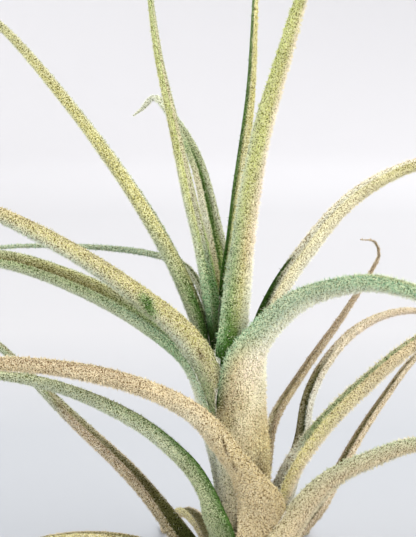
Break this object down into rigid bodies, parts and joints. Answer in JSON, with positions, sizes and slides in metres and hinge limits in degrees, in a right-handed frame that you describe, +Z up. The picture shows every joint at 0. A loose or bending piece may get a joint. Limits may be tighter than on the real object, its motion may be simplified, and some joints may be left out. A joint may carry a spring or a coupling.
{
  "type": "air plant",
  "caption": "Air plant standing on its foot: long channelled leaves clasp a short stem, rise, and arch out to all sides, felted with fine cream scales.",
  "frame": {"origin": "middle of the flat foot of the stem, on the surface that the plant stands on", "axes": "+Z up along the stem, -Y towards the side that the picture shows, +X to the right in that view"},
  "size_m": [0.1639, 0.1435, 0.1412],
  "materials": {
    "green_leaf": "matte living leaf, felted with fine cream scales",
    "tan_leaf": "matte, sun-faded leaf, felted with fine cream scales",
    "old_leaf": "dull ageing leaf, thinly scaled",
    "stem_wood": "rough and fibrous"
  },
  "bodies": {
    "root": {"stem": "stem_wood", "leaf_front_arching": "green_leaf", "leaf_left_front": "tan_leaf", "leaf_left_upper": "tan_leaf", "leaf_upright_front": "green_leaf", "leaf_tall_left": "green_leaf", "leaf_left_channelled": "green_leaf", "leaf_upright_left": "green_leaf", "leaf_upright_slim": "green_leaf", "leaf_right_upper": "tan_leaf", "leaf_back_hooked": "green_leaf", "leaf_right_middle": "tan_leaf", "leaf_back_curled": "old_leaf", "leaf_back_right": "old_leaf", "leaf_right_slim": "old_leaf", "leaf_right_low": "tan_leaf", "leaf_left_lower": "green_leaf", "leaf_back_left": "old_leaf", "leaf_back_thin": "green_leaf", "leaf_foot_front": "old_leaf", "leaf_foot_front_right": "old_leaf", "leaf_foot_right": "old_leaf", "leaf_foot_back_right": "old_leaf", "leaf_foot_back": "old_leaf", "leaf_foot_left": "old_leaf", "leaf_foot_front_left": "old_leaf"}
  },
  "joints": []
}
